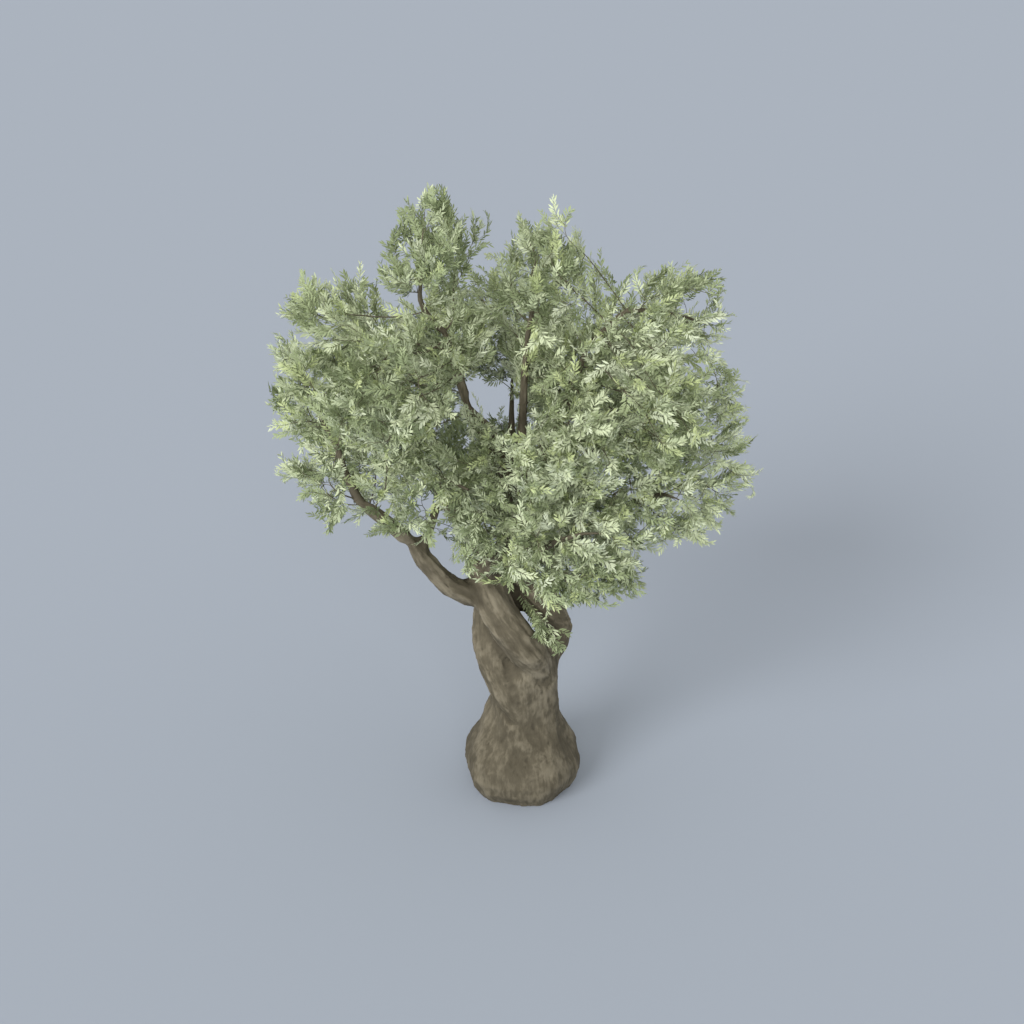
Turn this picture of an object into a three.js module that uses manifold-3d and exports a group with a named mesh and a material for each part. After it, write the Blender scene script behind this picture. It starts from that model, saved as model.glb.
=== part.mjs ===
// An old olive tree, rooted in the ground: a swollen foot, stems that wind round each other above
// a narrow waist, main boughs, and a wide crown of separate uneven masses of foliage.
// Millimetres, +Z up. The origin is the middle of the flat cut at ground level. +X is the side of
// the looping stem, and -Y is the side from which the front stem is seen to cross the others.

import * as THREE from 'three';
import { mergeVertices } from 'three/addons/utils/BufferGeometryUtils.js';
import Module from 'manifold-3d';

const wasm = await Module();
wasm.setup();

// ---------------------------------------------------------------- driving dimensions

const CLEARANCE = 2; // how much a solid is swollen before its neighbour is cut by it

const TRUNK = {
  waist: 276, // radius above the swollen foot
  bulb: 492, // greatest radius of the foot
  bulbHeight: 205, // height of that greatest radius
  spreadAbove: 350, // how far up the foot tapers away
  spreadBelow: 300, // how far down it draws in again
  height: 1340, // top of the undivided trunk, where the stems part
  domeFrom: 0.78, // share of the height where the top begins to round off
  lean: -34, // how far the foot bulges away from the looping stem
  bend: -110, // how far the top leans over to the front
  bendFrom: 0.45, // share of the height where it begins to lean over
  ribs: 5, // ribs that wind up the trunk
  ribDepth: 0.035, // share of the radius
  ribTurn: 1.1, // radians that a rib winds from the ground to the top
  sides: 20,
  steps: 13,
};

// Stems that wind round the trunk's axis, from one bearing to another and from one height to
// another. Bearings are degrees from +X, anticlockwise seen from above. out is the distance from
// the axis at each end, swell adds to it half way, and thick is the radius along the stem.
const WINDING_STEMS = [
  { name: 'stem_front', bearing: [-27, -171], out: [120, 350], swell: 44, height: [950, 2040],
    thick: [80, 148, 146, 138] },
  { name: 'stem_left', bearing: [-107, -225], out: [292, 222], swell: 0, height: [790, 1930],
    thick: [45, 122, 172, 172, 118] },
];

// Limbs grow from a place on an earlier limb (at is the share of its length, 1 if not given). Each
// has a bearing, how far it reaches and rises, how far its middle bows up (arch) or to the left of
// its course (sway), and its radius at the foot and at the tip.
const LIMBS = [
  { name: 'stem_right_lower', start: [90, 0, 1000], bearing: 0, reach: 188, rise: 490,
    arch: 0, sway: 0, thick: [100, 140] },
  { name: 'stem_right_upper', on: 'stem_right_lower', bearing: 165, reach: 332, rise: 290,
    arch: 60, sway: 0, thick: [120, 154, 132] },
  { name: 'bough_centre', on: 'stem_right_upper', bearing: -20, reach: 12, rise: 650,
    arch: 0, sway: -30, thick: [122, 92] },
  { name: 'bough_left', on: 'stem_front', at: 0.83, bearing: 192, reach: 590, rise: 505,
    arch: -150, sway: 0, thick: [108, 66] },
  { name: 'bough_left_outer', on: 'bough_left', bearing: 186, reach: 400, rise: 380,
    arch: 12, sway: 0, thick: [64, 44] },
  { name: 'bough_left_inner', on: 'bough_left', at: 0.86, bearing: 40, reach: 190, rise: 420,
    arch: 0, sway: 0, thick: [44, 30] },
  { name: 'bough_front', on: 'stem_front', at: 0.97, bearing: -48, reach: 520, rise: 420,
    arch: 60, sway: 0, thick: [84, 46] },
  { name: 'bough_back', on: 'stem_left', bearing: 80, reach: 640, rise: 620,
    arch: -60, sway: 30, thick: [100, 52] },
  { name: 'bough_back_left', on: 'stem_left', at: 0.94, bearing: 140, reach: 820, rise: 720,
    arch: -70, sway: 0, thick: [78, 40] },
  { name: 'bough_right', on: 'bough_centre', at: 0.5, bearing: -8, reach: 900, rise: 520,
    arch: -60, sway: 0, thick: [76, 36] },
  { name: 'bough_right_back', on: 'bough_centre', at: 0.7, bearing: 48, reach: 840, rise: 480,
    arch: -60, sway: 0, thick: [66, 36] },
  { name: 'bough_upper_left', on: 'bough_centre', bearing: 180, reach: 400, rise: 880,
    arch: 110, sway: 0, thick: [86, 70] },
  { name: 'bough_top_left', on: 'bough_upper_left', bearing: 180, reach: 180, rise: 640,
    arch: 0, sway: -20, thick: [44, 28] },
  { name: 'bough_top_middle', on: 'bough_centre', bearing: 60, reach: 80, rise: 1480,
    arch: 0, sway: 20, thick: [50, 22] },
  { name: 'bough_top_right', on: 'bough_centre', bearing: 0, reach: 480, rise: 1370,
    arch: 0, sway: 0, thick: [62, 32] },
  { name: 'bough_far_right', on: 'bough_top_right', bearing: 0, reach: 300, rise: 310,
    arch: 10, sway: 0, thick: [30, 22] },
];

// Masses of foliage: the bearing and reach of their middle from the trunk's axis, its height, and
// their size along X, Y and Z. Where two would overlap, they share the space between them.
const MASSES = [
  { name: 'foliage_hanging', bearing: -70, reach: 330, middle: 1650, size: [400, 240, 420] },
  { name: 'foliage_front_low', bearing: -61, reach: 660, middle: 2550, size: [1520, 1080, 1010] },
  { name: 'foliage_front_left', bearing: -126, reach: 520, middle: 2790, size: [660, 840, 1320] },
  { name: 'foliage_front_middle', bearing: -73, reach: 900, middle: 3340, size: [1040, 1040, 820] },
  { name: 'foliage_left_top', bearing: 174, reach: 1390, middle: 3970, size: [1060, 1180, 680] },
  { name: 'foliage_left_outer', bearing: -178, reach: 1570, middle: 3560, size: [780, 1160, 1020] },
  { name: 'foliage_left_low', bearing: -175, reach: 1380, middle: 2910, size: [850, 1120, 960] },
  { name: 'foliage_left_front', bearing: -145, reach: 1190, middle: 3720, size: [980, 1160, 1040] },
  { name: 'foliage_left_inner', bearing: -150, reach: 950, middle: 2940, size: [860, 960, 820] },
  { name: 'foliage_top_left', bearing: 180, reach: 645, middle: 4500, size: [820, 1080, 1020] },
  { name: 'foliage_top_middle', bearing: 37, reach: 170, middle: 4290, size: [940, 1080, 990] },
  { name: 'foliage_upper_left', bearing: 171, reach: 650, middle: 3830, size: [780, 1000, 900] },
  { name: 'foliage_upper_right', bearing: 24, reach: 360, middle: 3690, size: [940, 1080, 1040] },
  { name: 'foliage_right_top', bearing: 5, reach: 1000, middle: 4010, size: [1060, 1120, 780] },
  { name: 'foliage_right_middle', bearing: -20, reach: 880, middle: 3460, size: [1140, 1160, 980] },
  { name: 'foliage_right_outer', bearing: 0, reach: 1375, middle: 2960, size: [740, 1040, 1180] },
  { name: 'foliage_right_low', bearing: -24, reach: 1030, middle: 2810, size: [1220, 1080, 820] },
  { name: 'foliage_back_left', bearing: 139, reach: 1450, middle: 3140, size: [1320, 1280, 1320] },
  { name: 'foliage_back_right', bearing: 56, reach: 1160, middle: 3050, size: [1420, 1280, 1360] },
  { name: 'foliage_back_middle', bearing: 101, reach: 1270, middle: 3560, size: [1240, 1280, 960] },
  { name: 'foliage_back_low', bearing: 95, reach: 1130, middle: 2390, size: [1460, 1160, 1060] },
];

const LIMB_SIDES = 8;
const STEM_SIDES = 12;
const LIMB_STEPS = 5;
const STEM_STEPS = 10;
const END_WIDTH = 0.7; // a limb's end is this share of its radius wide
const END_LENGTH = 0.5; // and it reaches this share of its radius past the limb's middle line
const MASS_DETAIL = 3; // how often each side of a mass's icosahedron is divided
const SMALL_MASS = 1065; // a mass whose mean size is below this is divided once less
const LUMPS = 30; // swellings and hollows spread over each mass
const LUMP_WIDTH = 0.32; // usual width of a lump, as a share of the radius
const LUMP_HEIGHT = 0.24; // greatest share of the radius that a lump adds or takes away

// ---------------------------------------------------------------- finishes

const bark = () => new THREE.MeshStandardMaterial({ color: 0x6b6552, roughness: 0.95, metalness: 0 });
const leaves = () => new THREE.MeshStandardMaterial({ color: 0x84906c, roughness: 0.8, metalness: 0 });

// ---------------------------------------------------------------- solids

// Joins the shared corners of a closed geometry, so that it becomes a solid that can be cut.
function solid(geometry) {
  geometry.deleteAttribute('normal');
  geometry.deleteAttribute('uv');
  const merged = mergeVertices(geometry, 1e-3);
  return new wasm.Manifold(new wasm.Mesh({
    numProp: 3,
    vertProperties: new Float32Array(merged.attributes.position.array),
    triVerts: new Uint32Array(merged.index.array),
  }));
}

// Takes the largest piece of a solid, which drops the slivers that a cut leaves behind.
function largest(shape) {
  return shape.decompose().reduce((a, b) => (b.volume() > a.volume() ? b : a));
}

function meshOf(name, shape, material) {
  const { vertProperties, triVerts } = shape.getMesh();
  const geometry = new THREE.BufferGeometry();
  geometry.setAttribute('position', new THREE.BufferAttribute(new Float32Array(vertProperties), 3));
  geometry.setIndex(new THREE.BufferAttribute(new Uint32Array(triVerts), 1));
  geometry.computeVertexNormals();
  const mesh = new THREE.Mesh(geometry, material);
  mesh.name = name;
  return mesh;
}

// Moves each vertex of a geometry to the place that a function gives for it.
function reshape(geometry, place) {
  const position = geometry.attributes.position;
  const vertex = new THREE.Vector3();
  for (let i = 0; i < position.count; i += 1) {
    vertex.fromBufferAttribute(position, i);
    const moved = place(vertex);
    position.setXYZ(i, moved.x, moved.y, moved.z);
  }
  return geometry;
}

// ---------------------------------------------------------------- trunk

// The trunk's radius at a share of its height: a waist, a swollen foot, and a rounded top.
function trunkRadius(share) {
  const { waist, bulb, bulbHeight, spreadAbove, spreadBelow, height, domeFrom } = TRUNK;
  const fromBulb = share * height - bulbHeight;
  const spread = fromBulb > 0 ? spreadAbove : spreadBelow;
  const radius = waist + (bulb - waist) * Math.exp(-((fromBulb / spread) ** 2));
  const dome = Math.max(0, (share - domeFrom) / (1 - domeFrom));
  return radius * Math.sqrt(1 - 0.8 * dome * dome);
}

function trunkSolid(swollenBy) {
  const { height, lean, bend, bendFrom, spreadAbove, ribs, ribDepth, ribTurn, sides, steps } = TRUNK;
  const column = new THREE.CylinderGeometry(1, 1, 1, sides, steps);
  return solid(reshape(column, ({ x, y, z }) => {
    const share = y + 0.5;
    const angle = Math.atan2(z, x);
    const rib = 1 + ribDepth * Math.cos(ribs * (angle + ribTurn * share));
    const radius = Math.hypot(x, z) * (trunkRadius(share) * rib + swollenBy);
    const shift = lean * Math.exp(-(((share * height) / spreadAbove - 1) ** 2));
    const forward = bend * (Math.max(0, share - bendFrom) / (1 - bendFrom)) ** 2;
    const top = share > 0.999 ? swollenBy : 0;
    return new THREE.Vector3(
      shift + radius * Math.cos(angle),
      forward - radius * Math.sin(angle),
      share * height + top,
    );
  }));
}

// ---------------------------------------------------------------- stems and boughs

// A point part of the way along a list of radii that are evenly spaced.
function radiusAlong(thick, share) {
  const place = share * (thick.length - 1);
  const index = Math.min(Math.floor(place), thick.length - 2);
  return THREE.MathUtils.lerp(thick[index], thick[index + 1], place - index);
}

// The middle line of a stem that winds round the trunk's axis.
function windingPath({ bearing, out, swell, height }) {
  const points = [];
  for (let step = 0; step <= STEM_STEPS; step += 1) {
    const share = step / STEM_STEPS;
    const angle = THREE.MathUtils.degToRad(THREE.MathUtils.lerp(...bearing, share));
    const reach = THREE.MathUtils.lerp(...out, share) + swell * Math.sin(Math.PI * share);
    points.push(new THREE.Vector3(
      reach * Math.cos(angle),
      reach * Math.sin(angle),
      THREE.MathUtils.lerp(...height, share),
    ));
  }
  return new THREE.CatmullRomCurve3(points);
}

// The middle line of a limb: one bow from its foot to its tip.
function bowedPath(foot, { bearing, reach, rise, arch, sway }) {
  const angle = THREE.MathUtils.degToRad(bearing);
  const course = new THREE.Vector3(Math.cos(angle), Math.sin(angle), 0);
  const left = new THREE.Vector3(-course.y, course.x, 0);
  const tip = foot.clone().addScaledVector(course, reach).add(new THREE.Vector3(0, 0, rise));
  const bow = foot.clone().lerp(tip, 0.5);
  bow.addScaledVector(left, 2 * sway).add(new THREE.Vector3(0, 0, 2 * arch));
  return new THREE.QuadraticBezierCurve3(foot, bow, tip);
}

// A closed tapering tube with rounded ends, swept along a path.
function tubeSolid(path, thick, sides, steps, swollenBy) {
  const frames = path.computeFrenetFrames(steps, false);
  const places = path.getSpacedPoints(steps);
  const rod = new THREE.CylinderGeometry(1, 1, 1, sides, steps);
  return solid(reshape(rod, ({ x, y, z }) => {
    const index = Math.round((y + 0.5) * steps);
    const full = radiusAlong(thick, index / steps);
    const outward = index === 0 ? -1 : index === steps ? 1 : 0;
    const radius = full * (outward ? END_WIDTH : 1) + swollenBy;
    const along = outward * (END_LENGTH * full + swollenBy);
    return places[index].clone()
      .addScaledVector(frames.binormals[index], x * radius)
      .addScaledVector(frames.normals[index], z * radius)
      .addScaledVector(frames.tangents[index], along);
  }));
}

// ---------------------------------------------------------------- foliage

// A small seeded source of even numbers between 0 and 1.
function seededNumbers(seed) {
  let state = seed * 2654435761;
  return () => {
    state = (Math.imul(state ^ (state >>> 15), 2246822519) + 0x9e3779b9) | 0;
    const mixed = Math.imul(state ^ (state >>> 13), 3266489917);
    return ((mixed ^ (mixed >>> 16)) >>> 0) / 4294967296;
  };
}

// Swellings and hollows spread over a ball: each has a direction, a width and a height.
function lumpsOf(seed) {
  const number = seededNumbers(seed);
  return Array.from({ length: LUMPS }, () => ({
    direction: new THREE.Vector3(number() - 0.5, number() - 0.5, number() - 0.5).normalize(),
    width: LUMP_WIDTH * (0.7 + 0.8 * number()),
    height: LUMP_HEIGHT * (2 * number() - 0.9),
  }));
}

function massCentre({ bearing, reach, middle }) {
  const angle = THREE.MathUtils.degToRad(bearing);
  return new THREE.Vector3(reach * Math.cos(angle), reach * Math.sin(angle), middle);
}

// How far a mass reaches from its middle in a direction, before it is made uneven.
function massReach({ size }, direction) {
  const [wide, deep, tall] = size;
  return 0.5 / Math.hypot(direction.x / wide, direction.y / deep, direction.z / tall);
}

// The planes that part a mass from the others: each has a direction and a distance from its middle.
function partings(mass) {
  const centre = massCentre(mass);
  return MASSES.filter((other) => other !== mass).map((other) => {
    const towards = massCentre(other).sub(centre);
    const apart = towards.length();
    const direction = towards.normalize();
    const own = massReach(mass, direction);
    return { direction, distance: (apart * own) / (own + massReach(other, direction)) - CLEARANCE };
  });
}

function massSolid(mass, seed) {
  const centre = massCentre(mass);
  const lumps = lumpsOf(seed);
  const planes = partings(mass);
  const meanSize = mass.size.reduce((sum, side) => sum + side) / 3;
  const detail = meanSize < SMALL_MASS ? MASS_DETAIL - 1 : MASS_DETAIL;
  const ball = new THREE.IcosahedronGeometry(1, detail);
  return solid(reshape(ball, (vertex) => {
    const direction = vertex.clone().normalize();
    const swelling = lumps.reduce((sum, lump) => {
      const apart = direction.distanceTo(lump.direction) / lump.width;
      return sum + lump.height * Math.exp(-apart * apart);
    }, 1);
    const limits = planes.map((plane) => {
      const facing = direction.dot(plane.direction);
      return facing > 0 ? plane.distance / facing : Infinity;
    });
    const reach = Math.min(massReach(mass, direction) * swelling, ...limits);
    return direction.multiplyScalar(reach).add(centre);
  }));
}

// ---------------------------------------------------------------- assembly

const tree = new THREE.Group();
tree.name = 'olive_tree';
const cutters = []; // the trunk and limbs so far, swollen by the clearance, that cut what follows

function cutByWood(shape) {
  return largest(cutters.reduce((rest, cutter) => rest.subtract(cutter), shape));
}

function placeWood(name, make) {
  tree.add(meshOf(name, cutByWood(make(0)), bark()));
  cutters.push(make(CLEARANCE));
}

placeWood('trunk', trunkSolid);

const paths = {};
for (const stem of WINDING_STEMS) {
  paths[stem.name] = windingPath(stem);
  placeWood(stem.name, (by) => tubeSolid(paths[stem.name], stem.thick, STEM_SIDES, STEM_STEPS, by));
}
for (const limb of LIMBS) {
  const foot = limb.start ? new THREE.Vector3(...limb.start) : paths[limb.on].getPointAt(limb.at ?? 1);
  paths[limb.name] = bowedPath(foot, limb);
  const sides = limb.name.startsWith('stem') ? STEM_SIDES : LIMB_SIDES;
  placeWood(limb.name, (by) => tubeSolid(paths[limb.name], limb.thick, sides, LIMB_STEPS, by));
}
MASSES.forEach((mass, index) => {
  tree.add(meshOf(mass.name, cutByWood(massSolid(mass, index + 1)), leaves()));
});

export default tree;
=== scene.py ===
import bmesh
import bpy
import numpy as np
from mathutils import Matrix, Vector
from mathutils.bvhtree import BVHTree


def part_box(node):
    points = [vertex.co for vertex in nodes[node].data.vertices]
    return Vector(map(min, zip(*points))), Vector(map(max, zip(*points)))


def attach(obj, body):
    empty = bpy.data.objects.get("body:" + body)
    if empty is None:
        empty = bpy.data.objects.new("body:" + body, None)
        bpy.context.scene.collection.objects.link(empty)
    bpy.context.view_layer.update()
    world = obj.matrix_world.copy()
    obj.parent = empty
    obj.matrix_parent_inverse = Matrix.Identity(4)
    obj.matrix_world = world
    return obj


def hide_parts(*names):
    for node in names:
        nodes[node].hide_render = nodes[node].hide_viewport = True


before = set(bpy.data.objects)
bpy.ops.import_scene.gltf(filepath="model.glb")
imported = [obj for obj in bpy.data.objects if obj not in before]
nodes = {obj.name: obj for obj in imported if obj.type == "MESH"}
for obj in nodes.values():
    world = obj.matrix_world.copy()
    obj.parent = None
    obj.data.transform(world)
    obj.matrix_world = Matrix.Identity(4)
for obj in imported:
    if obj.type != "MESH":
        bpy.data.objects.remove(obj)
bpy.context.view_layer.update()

# ------------------------------------------------------------------------------------------------
# Lie of the wood. An olive's stems and boughs wind and bow, and the grain of the bark runs along
# them. Each one's middle line is found by cutting its solid across at a row of stations.
# ------------------------------------------------------------------------------------------------
STATIONS = 11  # cuts across each limb
STATION_SPAN = (0.03, 0.97)  # shares of its length at the first cut and at the last
STEM_NODES = ["trunk"] + sorted(name for name in nodes if name.startswith("stem"))
BOUGH_NODES = sorted(name for name in nodes if name.startswith("bough"))
FOLIAGE_NODES = sorted(name for name in nodes if name.startswith("foliage"))


def corners_of(mesh):
    points = np.empty(len(mesh.vertices) * 3)
    mesh.vertices.foreach_get("co", points)
    return points.reshape(-1, 3)


def triangles_of(mesh):
    mesh.calc_loop_triangles()
    corners = np.empty(len(mesh.loop_triangles) * 3, dtype=np.int32)
    mesh.loop_triangles.foreach_get("vertices", corners)
    return corners.reshape(-1, 3)


def unit(vectors):
    return vectors / np.maximum(np.linalg.norm(vectors, axis=-1, keepdims=True), 1e-9)


def middle_line(name):
    """Points along the middle of a limb from its foot to its tip, and the radius at each."""
    points = corners_of(nodes[name].data)
    triangles = points[triangles_of(nodes[name].data)]
    course = np.linalg.svd(points - points.mean(axis=0), full_matrices=False)[2][0]
    if name == "trunk":
        course = np.array([0.0, 0.0, 1.0])
    course = course * np.sign(course[2])
    heights = triangles @ course
    line, radii = [], []
    for level in np.min(heights) + np.ptp(heights) * np.linspace(*STATION_SPAN, STATIONS):
        ends = []
        for a, b in ((0, 1), (1, 2), (2, 0)):
            span = heights[:, b] - heights[:, a]
            part = (level - heights[:, a]) / np.where(span == 0, 1, span)
            crossed = (part > 0) & (part < 1) & (span != 0)
            place = triangles[:, a] + (triangles[:, b] - triangles[:, a]) * part[:, None]
            ends.append(np.where(crossed[:, None], place, np.nan))
        ends = np.stack(ends, axis=1)
        ends = ends[np.isfinite(ends[..., 0]).sum(axis=1) == 2]
        pairs = ends[np.isfinite(ends[..., 0])].reshape(-1, 2, 3)
        lengths = np.linalg.norm(pairs[:, 1] - pairs[:, 0], axis=1)
        line.append((pairs.mean(axis=1) * lengths[:, None]).sum(axis=0) / lengths.sum())
        radii.append(lengths.sum() / (2 * np.pi))
    return np.array(line), np.array(radii)


lines = {name: middle_line(name) for name in STEM_NODES + BOUGH_NODES}

# ------------------------------------------------------------------------------------------------
# Trunk and stems, and the boughs that grow out of them: living wood under thin grey-brown bark.
# Stems that grew together leave deep creases, ribs wind along each limb, and the bark is cracked
# lengthways into shallow plates. One skin is fused from the solids of all the limbs.
# ------------------------------------------------------------------------------------------------
FILLET = 0.032  # solids are swollen this far, fused, and drawn in again, which fills their creases
GRAIN_SAMPLES = 48  # places on each middle line that the grain is read from
SKIN_CELL = 0.0135  # side of the skin's faces
EVENING = 14  # rounds of smoothing before the skin is drawn in
DRAWN_EVENING = 34  # and after
GROWING = 50  # rounds more round the feet that have grown into the limb below them
GROWN_IN = {"stem_front": 0.25, "stem_right_upper": 0.27, "bough_left": 0.12}  # and how far round
HOLLOW_ROUNDS = 16  # how far round each point the skin is looked at for hollows
HOLLOW_DEPTH = 0.007  # how deep a full hollow lies
RIB_COUNT = 4
RIB_TURN = 2.3  # radians that a rib winds for each metre
RIB_HEIGHT = 0.085  # share of the limb's radius
RIB_WANDER = 0.22  # size of the places over which the ribs wander
RIB_FADE = 0.35  # ribs are level where the next limb is less than this share of a radius further
LUMP_HEIGHT = 0.008
LUMP_SIZE = 0.14
PLATE_HEIGHT = 0.0034
PLATE_WIDTH = 0.028
PLATE_LENGTH = 0.13
FULL_RELIEF = 0.12  # a limb with a smaller radius than this has shallower bark
STREAK_SCALE = 34.0  # noise cells to the metre
PATCH_SCALE = 5.5
FLECK_SCALE = 150.0
GRAIN_STRETCH = 0.22  # streaks and flecks are this much finer across the grain than along it
DARKENING_HEIGHTS = (1.3, 0.35)  # the bark darkens between these heights
BARK_BUMP = 0.006


def smooth_noise(points, seed):
    """Smooth random numbers between -1 and 1 over space, one for each point."""
    cell = np.floor(points).astype(np.int64)
    part = points - cell
    part = part * part * (3 - 2 * part)
    total = np.zeros(len(points))
    for corner in np.ndindex(2, 2, 2):
        x, y, z = (cell + np.array(corner)).T
        mixed = (x * 374761393 + y * 668265263 + z * 1274126177 + seed * 974634777) & 0xFFFFFFFF
        mixed = ((mixed ^ (mixed >> 13)) * 1274126177) & 0xFFFFFFFF
        mixed = ((mixed ^ (mixed >> 16)) * 2246822519) & 0xFFFFFFFF
        value = ((mixed ^ (mixed >> 15)) & 0xFFFFFF) / 0x7FFFFF - 1
        weight = np.prod(np.where(np.array(corner) == 1, part, 1 - part), axis=1)
        total += weight * value
    return total


def grain_of(points):
    """For each point: its limb, the length along it, the offset across it, the limb's radius, and
    how much nearer that limb is than the next."""
    closest = np.full(len(points), np.inf)
    second = np.full(len(points), np.inf)
    along = np.zeros(len(points))
    across = np.zeros((len(points), 2))
    thick = np.ones(len(points))
    limb = np.zeros(len(points), dtype=np.int32)
    for number, (line, radii) in enumerate(lines.values()):
        steps = np.append(0, np.cumsum(np.linalg.norm(np.diff(line, axis=0), axis=1)))
        marks = np.linspace(0, steps[-1], GRAIN_SAMPLES)
        middle = np.stack([np.interp(marks, steps, line[:, axis]) for axis in range(3)], axis=1)
        radius = np.interp(marks, steps[1:-1], radii[1:-1])
        tangent = unit(np.gradient(middle, axis=0))
        side = [unit(np.cross(tangent[0], [0.31, 0.95, 0.05]))]
        for way in tangent[1:]:
            side.append(unit(side[-1] - way * (side[-1] @ way)))
        side = np.array(side)
        other = np.cross(tangent, side)
        offset = ((points[:, None, :] - middle[None]) ** 2).sum(axis=2)
        nearest = offset.argmin(axis=1)
        away = points - middle[nearest]
        near = np.sqrt(offset[np.arange(len(points)), nearest]) / radius[nearest]
        better = near < closest
        second = np.where(better, closest, np.minimum(second, near))
        closest[better] = near[better]
        limb[better] = number
        thick[better] = radius[nearest][better]
        along[better] = (marks[nearest] + (away * tangent[nearest]).sum(axis=1))[better]
        across[better, 0] = (away * side[nearest]).sum(axis=1)[better]
        across[better, 1] = (away * other[nearest]).sum(axis=1)[better]
    return limb, along, across, thick, second - closest


def fused_skin(names):
    """One even skin of quads round the solids of some limbs, swollen by the fillet."""
    shell = bmesh.new()
    for name in names:
        shell.from_mesh(nodes[name].data)
    bmesh.ops.remove_doubles(shell, verts=shell.verts, dist=1e-5)
    shell.normal_update()
    for vertex in shell.verts:
        vertex.co += vertex.normal * FILLET
    mesh = bpy.data.meshes.new("skin")
    shell.to_mesh(mesh)
    shell.free()
    holder = bpy.data.objects.new("skin", mesh)
    bpy.context.scene.collection.objects.link(holder)
    remesh = holder.modifiers.new("fuse", "REMESH")
    remesh.mode = "VOXEL"
    remesh.voxel_size = SKIN_CELL
    graph = bpy.context.evaluated_depsgraph_get()
    skin = bpy.data.meshes.new_from_object(holder.evaluated_get(graph))
    bpy.data.objects.remove(holder)
    return skin


def smoothed(points, edges, rounds, back=-0.52, share=1.0):
    """Points drawn towards their neighbours. The steps back keep the skin from shrinking, and the
    share says how much each point moves."""
    count = np.bincount(edges.ravel(), minlength=len(points))[:, None]
    for step in range(2 * rounds):
        push = 0.5 if step % 2 == 0 else back
        total = np.stack([
            np.bincount(edges[:, 0], points[edges[:, 1], axis], len(points))
            + np.bincount(edges[:, 1], points[edges[:, 0], axis], len(points))
            for axis in range(3)
        ], axis=1)
        points = points + push * share * (total / count - points)
    return points


def bark_relief(points):
    """How far the bark stands out at each point, and its plate, grain and rib there."""
    limb, along, across, thick, apart = grain_of(points)
    turn = np.arctan2(across[:, 1], across[:, 0])
    drift = smooth_noise(points / RIB_WANDER, 5)
    rib = np.cos(RIB_COUNT * turn + RIB_COUNT * RIB_TURN * along + 2.2 * drift + 1.7 * limb)
    rib_size = RIB_HEIGHT * np.minimum(thick, 0.2) * (0.6 + 0.4 * smooth_noise(points / 0.3, 9))
    alone = np.clip(apart / RIB_FADE, 0, 1)
    rib_size = rib_size * alone * alone * (3 - 2 * alone)
    lump = smooth_noise(points / LUMP_SIZE, 1) + 0.5 * smooth_noise(points / 0.06, 2)
    grain = np.column_stack([across, along]) + 0.02 * limb[:, None]
    plate_at = grain / [PLATE_WIDTH, PLATE_WIDTH, PLATE_LENGTH]
    plate_at = plate_at + 0.6 * smooth_noise(points / 0.05, 3)[:, None]
    plate = 1 - 2 * np.abs(smooth_noise(plate_at, 4)) + 0.5 * smooth_noise(plate_at * 2.1, 6)
    slender = np.clip(thick / FULL_RELIEF, 0.15, 1)
    relief = rib_size * rib + slender * (LUMP_HEIGHT * lump + PLATE_HEIGHT * plate)
    return relief, plate, grain, rib


def pushed(mesh, points, far):
    """The points of a mesh moved along their normals."""
    mesh.vertices.foreach_set("co", points.ravel())
    mesh.update()
    normals = np.empty(len(points) * 3)
    mesh.vertex_normals.foreach_get("vector", normals)
    return points + normals.reshape(-1, 3) * np.broadcast_to(far, len(points))[:, None]


def bark_piece(name, names):
    """A skin of bark with its relief, which stands for the solids of some limbs."""
    mesh = fused_skin(names)
    edges = np.empty(len(mesh.edges) * 2, dtype=np.int32)
    mesh.edges.foreach_get("vertices", edges)
    edges = edges.reshape(-1, 2)
    evened = smoothed(corners_of(mesh), edges, EVENING)
    drawn_in = smoothed(pushed(mesh, evened, -FILLET), edges, DRAWN_EVENING)
    near_foot = np.zeros(len(drawn_in))
    for limb, reach in GROWN_IN.items():
        away = np.linalg.norm(drawn_in - lines[limb][0][0], axis=1)
        near_foot = np.maximum(near_foot, 1 - away / reach)
    drawn_in = smoothed(drawn_in, edges, GROWING, 0.5, near_foot[:, None])
    relief, plate, grain, rib = bark_relief(drawn_in)
    points = pushed(mesh, drawn_in, relief)
    points[:, 2] = np.maximum(points[:, 2], 0)
    normals = pushed(mesh, points, 1.0) - points
    # How deep each point lies in a hollow of the skin, for the painted shade in the bark's
    # creases.
    levelled = smoothed(points, edges, HOLLOW_ROUNDS, 0.5)
    hollow = ((levelled - points) * normals).sum(axis=1) / HOLLOW_DEPTH
    mesh.attributes.new("hollow", "FLOAT", "POINT").data.foreach_set("value", hollow)
    mesh.attributes.new("grain", "FLOAT_VECTOR", "POINT").data.foreach_set("vector", grain.ravel())
    mesh.attributes.new("plate", "FLOAT", "POINT").data.foreach_set("value", plate)
    mesh.attributes.new("rib", "FLOAT", "POINT").data.foreach_set("value", rib)
    mesh.polygons.foreach_set("use_smooth", np.ones(len(mesh.polygons), dtype=bool))
    mesh.update()
    piece = bpy.data.objects.new(name, mesh)
    bpy.context.scene.collection.objects.link(piece)
    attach(piece, "root")
    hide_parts(*names)
    return piece


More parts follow.
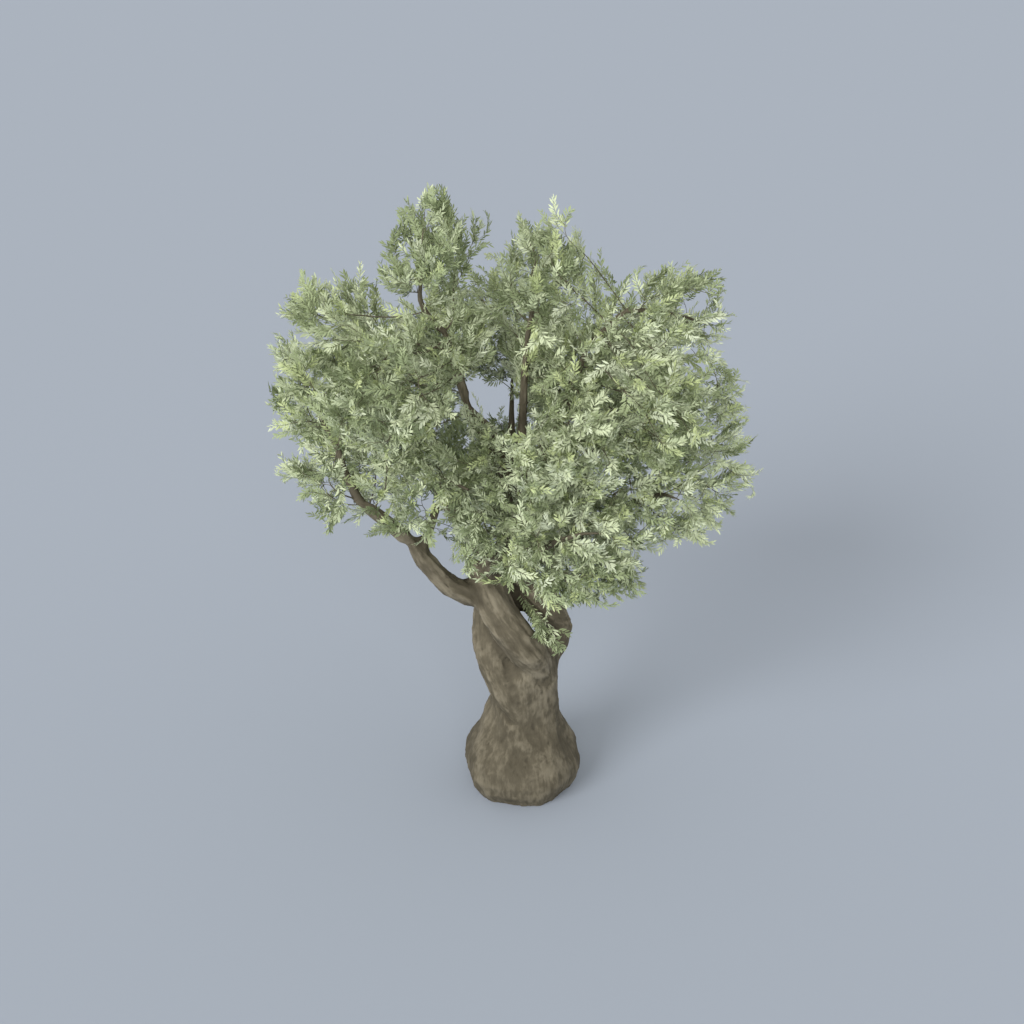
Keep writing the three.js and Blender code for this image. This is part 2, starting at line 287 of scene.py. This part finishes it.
class Wire:
    """A socket in a node tree. Sums on it add Math nodes to the tree."""

    def __init__(self, tree, socket):
        self.tree = tree
        self.socket = socket

    def node(self, kind, settings=None, output=0, **inputs):
        """Adds a node, sets it up, joins or sets its inputs, and gives back one of its outputs."""
        made = self.tree.nodes.new(kind)
        for key, value in (settings or {}).items():
            setattr(made, key, value)
        for key, value in inputs.items():
            place = int(key[1:]) if key[1:].isdigit() else key.replace("_", " ")
            socket = made.inputs[place]
            if isinstance(value, Wire):
                self.tree.links.new(value.socket, socket)
            else:
                socket.default_value = value
        return Wire(self.tree, made.outputs[output])

    def sum(self, operation, a, b):
        return self.node("ShaderNodeMath", {"operation": operation}, i0=a, i1=b)

    def __add__(self, other):
        return self.sum("ADD", self, other)

    def __sub__(self, other):
        return self.sum("SUBTRACT", self, other)

    def __rsub__(self, other):
        return self.sum("SUBTRACT", other, self)

    def __mul__(self, other):
        return self.sum("MULTIPLY", self, other)

    __radd__ = __add__
    __rmul__ = __mul__

    def ranged(self, low, high):
        """The value stretched so that low becomes 0 and high becomes 1, and held there."""
        inputs = {"Value": self, "From_Min": low, "From_Max": high}
        return self.node("ShaderNodeMapRange", {"clamp": True}, **inputs)

    def mixed(self, first, second):
        """A colour between two colours, by this value."""
        settings = {"data_type": "RGBA", "clamp_factor": True}
        return self.node("ShaderNodeMix", settings, output=2, i0=self, i6=first, i7=second)


def tint(red, green, blue):
    """A colour written as screen values from 0 to 255."""
    share = np.array([red, green, blue]) / 255
    linear = np.where(share < 0.04045, share / 12.92, ((share + 0.055) / 1.055) ** 2.4)
    return (*linear, 1.0)


def new_material(name):
    """A material and a wire to start its sums from."""
    material = bpy.data.materials.new(name)
    material.use_nodes = True
    tree = material.node_tree
    surface = tree.nodes["Principled BSDF"]
    return material, surface, Wire(tree, None)


def deepened(colour, share):
    """A share of a colour's light."""
    return (*(share * part for part in colour[:3]), 1.0)


def bark_material(name, dark, middle, light):
    """Grain-streaked bark, darker in cracks and at the foot, with painted shade in its creases."""
    material, surface, wire = new_material(name)
    grain = wire.node("ShaderNodeAttribute", {"attribute_name": "grain"}, output=1)
    plate = wire.node("ShaderNodeAttribute", {"attribute_name": "plate"}, output=2)
    rib = wire.node("ShaderNodeAttribute", {"attribute_name": "rib"}, output=2)
    hollow = wire.node("ShaderNodeAttribute", {"attribute_name": "hollow"}, output=2)
    stretched = wire.node("ShaderNodeMapping", Vector=grain, Scale=(1.0, 1.0, GRAIN_STRETCH))
    place = wire.node("ShaderNodeTexCoord", output=3)
    noise = "ShaderNodeTexNoise"
    streak = wire.node(noise, Vector=stretched, Scale=STREAK_SCALE, Detail=5.0, Roughness=0.6)
    patch = wire.node(noise, Vector=place, Scale=PATCH_SCALE, Detail=4.0, Roughness=0.55)
    fleck = wire.node(noise, Vector=stretched, Scale=FLECK_SCALE, Detail=3.0, Roughness=0.6)
    tone = streak.ranged(0.3, 0.7) * 0.45 + patch.ranged(0.3, 0.7) * 0.55
    colour = tone.ranged(0.1, 0.65).mixed(dark, middle)
    # The hollows take less of the light colour, as painted shade.
    bright = (tone + rib * 0.1 + plate * 0.06 - hollow * 0.12).ranged(0.5, 1.0)
    colour = bright.mixed(colour, light)
    # Darker towards the foot.
    height = wire.node("ShaderNodeSeparateXYZ", Vector=place, output=2)
    foot_darkening = height.ranged(*DARKENING_HEIGHTS) * 0.25
    colour = foot_darkening.mixed(colour, deepened(dark, 0.55))
    # Darker in the cracks, partly the bark's own colour and partly painted shade, with painted
    # shade in the hollows and creases between limbs.
    crack_and_crease_shade = (plate * -1.0).ranged(0.25, 1.0) * 0.5 + hollow.ranged(0.1, 1.1) * 0.4
    colour = crack_and_crease_shade.mixed(colour, deepened(dark, 0.6))
    rough = fleck * 0.2 + 0.78
    raised = fleck * 0.5 + streak
    bump = wire.node("ShaderNodeBump", Height=raised, Strength=0.35, Distance=BARK_BUMP)
    for socket, value in (("Base Color", colour), ("Roughness", rough), ("Normal", bump)):
        material.node_tree.links.new(value.socket, surface.inputs[socket])
    surface.inputs["Specular IOR Level"].default_value = 0.25
    return material


bark = bark_material("bark", tint(79, 73, 59), tint(102, 95, 79), tint(131, 123, 105))
wood = bark_piece("bark", STEM_NODES + BOUGH_NODES)
wood.data.materials.append(bark)

# ------------------------------------------------------------------------------------------------
# Branches. They grow on from the boughs into each mass of foliage by one seeded rule: every tip
# turns towards the free room around it, and a branch forks where its room divides. Their wood is
# smooth and greyer than the trunk's, and it thins out towards the tips.
# ------------------------------------------------------------------------------------------------
ROOM_POINTS = 700  # free places in each cubic metre of foliage
ROOM_REACH = 1.3  # how far a tip is drawn from
ROOM_TAKEN = 0.09  # a free place is used up when a tip comes this near
STRIDE = 0.055  # how far a tip grows at a time
RISE = 0.08  # how much it turns upwards
WANDER = 0.2  # and how much it strays
MOST_FORKS = 3
RIM = 0.07  # branches stop this far under the outside of a mass, and the sprays go on
RAGGED = 0.1  # and this much deeper where the outline is hollow
HOLLOW_SIZE = 0.26
TIP_RADIUS = 0.002
THICKENING = 2.1  # a limb's radius to this power is the sum of those of its branches
LEADER_TAPER = 0.9  # metres over which a branch that carries on a bough thins to its own radius
NEXT_BOUGH = 0.15  # a bough that starts this near carries on another in its place
TUBE_SIDES = ((8, 0.02), (6, 0.009), (4, 0.004))  # for radii over these, and three for the rest
DENSITY = {  # how many times the usual free places a mass has, where it isn't once
    "foliage_hanging": 4.0,
    "foliage_right_outer": 0.45,
    "foliage_front_low": 2.2,
    "foliage_front_left": 1.4,
    "foliage_front_middle": 1.3,
}
DENSE_SKIRT = "foliage_front_low"  # branches go out further in this one
SKIRT_RIM = 0.35  # share of the usual rim
CLEARING = ((-0.19, -1.4, 3.96), (-0.226, 1.7, 2.8))  # two places in the gap through the crown
CLEARING_RADIUS = 0.12
chance = np.random.default_rng(20)
masses = {}
for name in FOLIAGE_NODES:
    mesh = nodes[name].data
    masses[name] = BVHTree.FromPolygons(corners_of(mesh).tolist(), triangles_of(mesh).tolist())


def depth_in(tree, place):
    """How deep a place lies under the outside of a mass, or less than zero outside it."""
    surface, normal, _, distance = tree.find_nearest(place)
    return distance if (place - surface).dot(normal) < 0 else -distance


def in_clearing(places):
    """Which places lie in the gap through the crown."""
    one, other = np.array(CLEARING)
    apart = np.linalg.norm(np.cross(places - one, unit(other - one)), axis=1)
    return apart < CLEARING_RADIUS * (1 + 0.7 * smooth_noise(places / 0.1, 12))


outside = []  # the faces of the masses that don't meet another mass
for name in FOLIAGE_NODES:
    mesh = nodes[name].data
    points = corners_of(mesh)
    triangles = points[triangles_of(mesh)]
    normals = unit(np.cross(triangles[:, 1] - triangles[:, 0], triangles[:, 2] - triangles[:, 0]))
    others = [masses[other] for other in FOLIAGE_NODES if other != name]
    for triangle, beyond in zip(triangles, triangles.mean(axis=1) + 0.03 * normals):
        if all(depth_in(other, Vector(beyond)) < 0 for other in others):
            outside.append(triangle)
outside = np.array(outside)
crown = BVHTree.FromPolygons(
    outside.reshape(-1, 3).tolist(), np.arange(3 * len(outside)).reshape(-1, 3).tolist()
)


def free_places(name):
    """Even random points inside a mass of foliage, clear of its outside."""
    low, high = (np.array(corner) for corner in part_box(name))
    small = min(1.0, 1.6 * (high - low).min())  # a small mass has a thinner rim
    count = int(np.prod(high - low) * ROOM_POINTS * DENSITY.get(name, 1.0))
    tried = low + (high - low) * chance.random((count, 3))
    tried = tried[~in_clearing(tried)]
    rims = (RIM + RAGGED * np.clip(smooth_noise(tried / HOLLOW_SIZE, 8), 0, 1)) * small
    if name == DENSE_SKIRT:
        rims = rims * SKIRT_RIM
    kept = [
        place for place, rim in zip(tried, rims)
        if depth_in(masses[name], Vector(place)) > 0 and depth_in(crown, Vector(place)) > rim
    ]
    return np.array(kept).reshape(-1, 3)


room = np.concatenate([free_places(name) for name in FOLIAGE_NODES])

# The first joints lie along the boughs' own middle lines.
joints, parent, wood_radius = [], [], []
tip_of_bough = []
for name in BOUGH_NODES:
    line, radii = lines[name]
    steps = np.append(0, np.cumsum(np.linalg.norm(np.diff(line, axis=0), axis=1)))
    for mark in np.arange(0, steps[-1], STRIDE):
        parent.append(len(joints) - 1 if mark > 0 else -1)
        wood_radius.append(np.interp(mark, steps[1:-1], radii[1:-1]))
        joints.append([np.interp(mark, steps, line[:, axis]) for axis in range(3)])
    tip_of_bough.append(len(joints) - 1)
joints = np.array(joints)
wooden = len(joints)

# Every free place draws the joint nearest to it, until a tip has come near enough to take it.
distance = np.full(len(room), np.inf)
owner = np.zeros(len(room), dtype=np.int64)
for start in range(0, wooden, 50):
    apart = np.linalg.norm(room[:, None] - joints[None, start:start + 50], axis=2)
    closer = apart.min(axis=1) < distance
    owner[closer] = start + apart.argmin(axis=1)[closer]
    distance[closer] = apart.min(axis=1)[closer]
alive = distance > ROOM_TAKEN
forks = np.zeros(wooden, dtype=np.int64)
while alive.any():
    drawn = alive & (distance < ROOM_REACH)
    tips, which = np.unique(owner[drawn], return_inverse=True)
    ready = forks[tips] < MOST_FORKS
    if not ready.any():
        break
    pull = unit(room[drawn] - joints[owner[drawn]])
    course = np.stack([np.bincount(which, pull[:, axis]) for axis in range(3)], axis=1)
    course = unit(course) + [0, 0, RISE] + WANDER * chance.normal(size=course.shape)
    fresh = (joints[tips] + STRIDE * unit(course))[ready]
    forks[tips] += 1
    forks = np.append(forks, np.zeros(len(fresh), dtype=np.int64))
    first = len(joints)
    joints = np.concatenate([joints, fresh])
    parent.extend(tips[ready])
    places = np.flatnonzero(alive)
    apart = np.linalg.norm(room[places][:, None] - joints[None, first:], axis=2)
    closer = apart.min(axis=1) < distance[places]
    owner[places[closer]] = first + apart.argmin(axis=1)[closer]
    distance[places[closer]] = apart.min(axis=1)[closer]
    alive &= distance > ROOM_TAKEN
parent = np.array(parent)

# A limb is as thick as the branches that it carries together, and the thickest is its heir.
carried = np.zeros(len(joints))
for joint in range(len(joints) - 1, -1, -1):
    carried[joint] = max(carried[joint], TIP_RADIUS**THICKENING)
    if parent[joint] >= 0:
        carried[parent[joint]] += carried[joint]
radius = carried ** (1 / THICKENING)
heir = np.full(len(joints), -1)
for joint in range(wooden, len(joints)):
    rival = heir[parent[joint]]
    if rival < 0 or radius[joint] > radius[rival]:
        heir[parent[joint]] = joint

# A branch that carries on a bough starts as thick as the bough ends.
feet = np.array([line[0] for line, _ in lines.values()])
for tip in tip_of_bough:
    if (np.linalg.norm(feet - joints[tip], axis=1) < NEXT_BOUGH).any():
        continue
    joint, gone, thick = heir[tip], 0.0, wood_radius[tip]
    while joint >= 0 and gone < LEADER_TAPER:
        gone += STRIDE
        share = gone / LEADER_TAPER
        radius[joint] = max(radius[joint], thick * (1 - share) + radius[joint] * share)
        joint = heir[joint]

# The kinks between strides are evened out.
inner = np.flatnonzero((heir >= 0) & (np.arange(len(joints)) >= wooden))
for _ in range(2):
    middle = joints.copy()
    middle[inner] = 0.5 * joints[inner] + 0.25 * (joints[parent[inner]] + joints[heir[inner]])
    joints = middle


def tube(line, radii, sides):
    """Rings round a line: their corners, and the faces between them."""
    tangent = unit(np.gradient(line, axis=0))
    side = unit(np.cross(tangent, unit(np.array([0.37, 0.21, 0.9]))))
    other = np.cross(tangent, side)
    turn = np.arange(sides) * 2 * np.pi / sides
    turn = turn[None, :, None]
    ring = np.cos(turn) * side[:, None] + np.sin(turn) * other[:, None]
    corners = (line[:, None] + radii[:, None, None] * ring).reshape(-1, 3)
    at = np.arange(len(line) - 1)[:, None] * sides + np.arange(sides)[None]
    after = np.arange(len(line) - 1)[:, None] * sides + (np.arange(sides)[None] + 1) % sides
    faces = np.stack([at, after, after + sides, at + sides], axis=-1).reshape(-1, 4)
    return corners, faces


def quad_mesh(name, corners, faces, material):
    """A piece of many loose quads from arrays."""
    mesh = bpy.data.meshes.new(name)
    mesh.vertices.add(len(corners))
    mesh.vertices.foreach_set("co", np.ascontiguousarray(corners, dtype=np.float32).ravel())
    mesh.loops.add(faces.size)
    mesh.loops.foreach_set("vertex_index", np.ascontiguousarray(faces, dtype=np.int32).ravel())
    mesh.polygons.add(len(faces))
    mesh.polygons.foreach_set("loop_start", np.arange(len(faces), dtype=np.int32) * faces.shape[1])
    mesh.update(calc_edges=True)
    mesh.materials.append(material)
    piece = bpy.data.objects.new(name, mesh)
    bpy.context.scene.collection.objects.link(piece)
    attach(piece, "root")
    return piece


# Each run of heirs is one tapering tube, from the limb that it starts on to its tip.
corners, faces, total = [], [], 0
starts = [j for j in range(wooden, len(joints)) if heir[parent[j]] != j or parent[j] < wooden]
for start in starts:
    chain = [parent[start], start]
    while heir[chain[-1]] >= 0:
        chain.append(heir[chain[-1]])
    thick = radius[chain]
    root = wood_radius[chain[0]] if chain[0] < wooden else radius[chain[0]]
    thick[0] = min(0.9 * root, 1.4 * thick[1])
    sides = next((many for many, least in TUBE_SIDES if thick[1] > least), 3)
    part_corners, part_faces = tube(joints[chain], thick, sides)
    corners.append(part_corners)
    faces.append(part_faces + total)
    total += len(part_corners)
branch_tints = tint(84, 78, 64), tint(106, 99, 84), tint(132, 124, 106)
branch_bark = bark_material("branch_bark", *branch_tints)
branches = quad_mesh("branches", np.concatenate(corners), np.concatenate(faces), branch_bark)
branches.data.polygons.foreach_set("use_smooth", np.ones(len(branches.data.polygons), dtype=bool))

# ------------------------------------------------------------------------------------------------
# Sprays. Every young branch carries this year's and last year's shoots. A shoot is a thin straight
# twig with its narrow, stiff, folded leaves in opposite pairs, and it turns out of the crown.
# ------------------------------------------------------------------------------------------------
SPRAYS = 6000
YOUNG = 0.008  # a branch thinner than this carries sprays
TIP_FAVOUR = 1.6  # how much likelier a spray is at the end of a branch
SPRAY_LENGTH = (0.15, 0.27)
SHORTEST = 0.085
FOLLOW = 0.8  # how much a spray follows its branch
OUTWARD = 0.4  # how much it turns out of the crown at least
MORE_OUTWARD = 0.35  # and how much more at most
WILD = 0.65  # how much it goes its own way
SPRAY_RISE = 0.05
SPRAY_OVER = (-0.06, 0.06)  # how far the sprays' tips may stand out of the crown
SPRAY_HOLLOW = 0.07  # and how much less where the outline is hollow
STRAY = 0.07  # share of the sprays that stand out further
STRAY_OVER = 0.1
PAIR_SPACING = 0.0165
BARE_FOOT = 0.07  # share of the twig before its first leaves
LEAF_LENGTH = 0.058
LEAF_WIDTH = 0.0145
LEAF_FOLD = 0.32  # rise of the edges over half the width
LEAF_OUTLINE = ((0.3, 0.9), (0.68, 0.85))  # shares of the length, and of the half width there
LEAF_ANGLE = 58  # degrees from the twig at its foot
LEAF_CLOSING = 32  # how many degrees less at its tip
CROWN_MIDDLE = np.array([-0.1, 0.1, 2.9])
LOW_CROWN = 2.9  # below this height the leaves are darker
HIGH_CROWN = 4.2  # and above this one, as painted shade on the topmost sprays
LEAF_TINTS = {  # colours, and their shares of the sprays
    "silver": (tint(206, 214, 184), 0.14),
    "pale": (tint(203, 212, 175), 0.22),
    "yellow_green": (tint(188, 199, 146), 0.12),
    "sage": (tint(180, 190, 154), 0.2),
    "mid": (tint(158, 170, 129), 0.2),
    "dark": (tint(136, 147, 109), 0.12),
}

# Where the sprays start and which way they point.
young = np.flatnonzero((radius < YOUNG) & (np.arange(len(joints)) >= wooden))
ending = (heir[young] < 0).astype(float)
weight = 1 + TIP_FAVOUR * ending
base = chance.choice(young, SPRAYS, p=weight / weight.sum())
base = np.sort(np.concatenate([base, young[heir[young] < 0]]))
start = joints[base]
course = unit(joints[base] - joints[parent[base]])
outward = unit((start - CROWN_MIDDLE) * [1, 1, 1.2])
wild = unit(chance.normal(size=start.shape))
lean = chance.random(len(start))[:, None]
outward_share = OUTWARD + MORE_OUTWARD * lean
way = unit(FOLLOW * course + outward_share * outward + WILD * wild + [0, 0, SPRAY_RISE])
length = chance.uniform(*SPRAY_LENGTH, len(start))
inset = SPRAY_HOLLOW * np.clip(smooth_noise(start / HOLLOW_SIZE, 8), 0, 1)
over = chance.uniform(*SPRAY_OVER, len(start)) - inset
over = np.where(chance.random(len(start)) < STRAY, STRAY_OVER, over)
tip = start + way * length[:, None]

# A tip that stands too far out of the crown is drawn back, and the gap stays clear.
for row in range(len(tip)):
    place = Vector(tip[row])
    surface, normal, _, _ = crown.find_nearest(place)
    beyond = -depth_in(crown, place) - over[row]
    if beyond > 0:
        tip[row] -= beyond * np.array(normal)
length = np.linalg.norm(tip - start, axis=1)
kept = (length > SHORTEST) & ~in_clearing(tip) & ~in_clearing(0.6 * tip + 0.4 * start)
start, tip, length, course, outward = (v[kept] for v in (start, tip, length, course, outward))
way = unit(tip - start)
sag = (0.12 * chance.normal(size=start.shape) + [0, 0, -0.05]) * length[:, None]
side = unit(np.cross(way, unit(chance.normal(size=way.shape) * 0.8 + outward)))


def along_spray(rows, share):
    """Places on the sprays' twigs at a share of their lengths, and the twigs' courses there."""
    share = share[:, None]
    place = start[rows] + (tip - start)[rows] * share + sag[rows] * 4 * share * (1 - share)
    course = unit((tip - start)[rows] + sag[rows] * 4 * (1 - 2 * share))
    return place, course


# The leaves: their feet along the twigs, then their courses, sizes and outlines, hand by hand.
pairs = np.maximum(4, (0.93 * length / PAIR_SPACING).astype(int))
spray_of_leaf = np.repeat(np.arange(len(start)), pairs)
order = np.arange(len(spray_of_leaf)) - np.repeat(np.cumsum(pairs) - pairs, pairs)
share = BARE_FOOT + 0.93 * (order + 0.6) / pairs[spray_of_leaf]
foot, ahead = along_spray(spray_of_leaf, share)
flank = unit(np.cross(np.cross(ahead, side[spray_of_leaf]), ahead))
above = np.cross(ahead, flank)
leaf_corners = []
many = len(foot)
(low, low_width), (high, high_width) = LEAF_OUTLINE
for hand in (-1, 1):
    roll = chance.normal(0, 0.3, many)[:, None]
    out = flank * np.cos(roll) * hand + above * np.sin(roll)
    rise = above * np.cos(roll) - flank * np.sin(roll) * hand
    spread = np.radians(LEAF_ANGLE - LEAF_CLOSING * share + chance.normal(0, 8, many))[:, None]
    lift = chance.normal(0.05, 0.15, many)[:, None]
    blade = unit(ahead * np.cos(spread) + out * np.sin(spread) + rise * lift)
    size = LEAF_LENGTH * (1 - 0.9 * (share - 0.45) ** 2) * chance.uniform(0.82, 1.15, many)
    tilt = chance.normal(0, 0.35, many)[:, None]
    level = unit(np.cross(rise, blade))
    upright = np.cross(blade, level)
    across = level * np.cos(tilt) + upright * np.sin(tilt)
    normal = upright * np.cos(tilt) - level * np.sin(tilt)
    broad = chance.uniform(0.85, 1.15, many)[:, None]
    half = 0.5 * LEAF_WIDTH * (size / LEAF_LENGTH)[:, None] * broad
    size = size[:, None]
    right = (across + LEAF_FOLD * normal) * half
    left = (-across + LEAF_FOLD * normal) * half
    leaf = [
        foot,
        foot + low * size * blade + low_width * right,
        foot + high * size * blade + high_width * right,
        foot + size * blade,
        foot + high * size * blade + high_width * left,
        foot + low * size * blade + low_width * left,
    ]
    leaf_corners.append(np.stack(leaf, axis=1))
leaf_corners = np.concatenate(leaf_corners)
leaf_spray = np.tile(spray_of_leaf, 2)

# The greens are dealt out by spray, from the palest to the darkest, in clusters.
cluster = smooth_noise(start / 0.35, 31) * 0.55 + smooth_noise(start / 0.12, 32) * 0.3
cluster = cluster + chance.normal(0, 0.5, len(start))
cluster = cluster + 0.3 * np.maximum(LOW_CROWN - start[:, 2], 0)
# Painted shade: the topmost sprays, which the front light reaches edge-on, get darker greens.
cluster = cluster + 1.4 * np.maximum(start[:, 2] - HIGH_CROWN, 0)
rank = np.argsort(np.argsort(cluster)) / len(cluster)
shares = np.cumsum([part for _, part in LEAF_TINTS.values()])
tint_of_spray = np.searchsorted(shares / shares[-1], rank)
for number, (name, (colour, _)) in enumerate(LEAF_TINTS.items()):
    material, surface, _ = new_material("leaf_" + name)
    surface.inputs["Base Color"].default_value = colour
    surface.inputs["Roughness"].default_value = 0.6
    surface.inputs["Specular IOR Level"].default_value = 0.25
    chosen = leaf_corners[tint_of_spray[leaf_spray] == number]
    first = np.arange(len(chosen))[:, None, None] * 6
    faces = (first + np.array([[0, 1, 2, 3], [0, 3, 4, 5]])[None]).reshape(-1, 4)
    leaves = quad_mesh("leaves_" + name, chosen.reshape(-1, 3), faces, material)
    if number == 0:
        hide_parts(*FOLIAGE_NODES)

# The sprays' twigs are three-sided and thin out to their tips.
TWIG_RADIUS = 0.0019
TWIG_THINNING = 0.6
TWIG_RINGS = np.array([0.0, 0.35, 0.7, 1.0])  # shares of the twig's length
rows = np.repeat(np.arange(len(start)), len(TWIG_RINGS))
shares = np.tile(TWIG_RINGS, len(start))
place, ahead = along_spray(rows, shares)
flank = unit(np.cross(ahead, side[rows]))
above = np.cross(ahead, flank)
thin = TWIG_RADIUS * (1 - TWIG_THINNING * shares)[:, None]
turns = np.arange(3) * 2 * np.pi / 3
rings = [place + thin * (np.cos(turn) * flank + np.sin(turn) * above) for turn in turns]
corners = np.stack(rings, axis=1).reshape(-1, 3)
ring = np.arange(3)
strip = np.stack([ring, (ring + 1) % 3, (ring + 1) % 3 + 3, ring + 3], axis=-1)
first = np.arange(len(start))[:, None] * len(TWIG_RINGS) + np.arange(len(TWIG_RINGS) - 1)
faces = (3 * first.ravel()[:, None, None] + strip[None]).reshape(-1, 4)
material, surface, _ = new_material("twig_bark")
surface.inputs["Base Color"].default_value = tint(118, 120, 90)
surface.inputs["Roughness"].default_value = 0.75
twigs = quad_mesh("twigs", corners, faces, material)

# ------------------------------------------------------------------------------------------------
# Studio: a plain pale floor, soft light from the upper left and the front under a sky that is
# dimmer overhead, and the camera, which looks down on the tree a little.
# ------------------------------------------------------------------------------------------------
CAMERA_TARGET = Vector((-0.107, 0.0, 2.5))
CAMERA_DISTANCE = 10.95
LOOKS_DOWN = np.radians(25)
LENS_LENGTH = 49.45  # millimetres, as the sensor's width is
SENSOR_WIDTH = 36
FLOOR_REACH = 400
SKY_LEVEL = 1.1
SKY_OVERHEAD = 0.42
LAMP_SPREAD = np.radians(30)
LAMPS = {"key": ((0.65, 0.8, -0.5), 2.0), "fill": ((-0.05, 0.9, -0.4), 0.75)}
floor_mesh = bpy.data.meshes.new("floor")
floor_corners = [
    (across * FLOOR_REACH, along * FLOOR_REACH, 0)
    for across, along in ((-1, -1), (1, -1), (1, 1), (-1, 1))
]
floor_mesh.from_pydata(floor_corners, [], [(0, 1, 2, 3)])
floor = bpy.data.objects.new("floor", floor_mesh)
floor.location.z = -0.001
bpy.context.scene.collection.objects.link(floor)
material, surface, _ = new_material("floor")
surface.inputs["Base Color"].default_value = tint(171, 179, 191)
surface.inputs["Roughness"].default_value = 1.0
surface.inputs["Specular IOR Level"].default_value = 0.0
floor_mesh.materials.append(material)

world = bpy.data.worlds.new("studio")
bpy.context.scene.world = world
world.use_nodes = True
sky = world.node_tree.nodes["Background"]
sky.inputs["Color"].default_value = (1.0, 1.0, 0.98, 1.0)
wire = Wire(world.node_tree, None)
height = wire.node("ShaderNodeSeparateXYZ", Vector=wire.node("ShaderNodeTexCoord"), output=2)
strength = SKY_LEVEL - (SKY_LEVEL - SKY_OVERHEAD) * height.ranged(0.1, 0.9)
world.node_tree.links.new(strength.socket, sky.inputs["Strength"])
for name, (way, energy) in LAMPS.items():
    lamp = bpy.data.lights.new(name, "SUN")
    lamp.energy = energy
    lamp.angle = LAMP_SPREAD
    holder = bpy.data.objects.new(name, lamp)
    holder.rotation_euler = Vector(way).to_track_quat("-Z", "Y").to_euler()
    bpy.context.scene.collection.objects.link(holder)

lens = bpy.data.cameras.new("camera")
lens.sensor_width = SENSOR_WIDTH
lens.lens = LENS_LENGTH
camera = bpy.data.objects.new("camera", lens)
back = Vector((0, -np.cos(LOOKS_DOWN), np.sin(LOOKS_DOWN)))
camera.location = CAMERA_TARGET + back * CAMERA_DISTANCE
camera.rotation_euler = back.to_track_quat("Z", "Y").to_euler()
bpy.context.scene.collection.objects.link(camera)
bpy.context.scene.camera = camera
bpy.context.scene.view_settings.view_transform = "Standard"
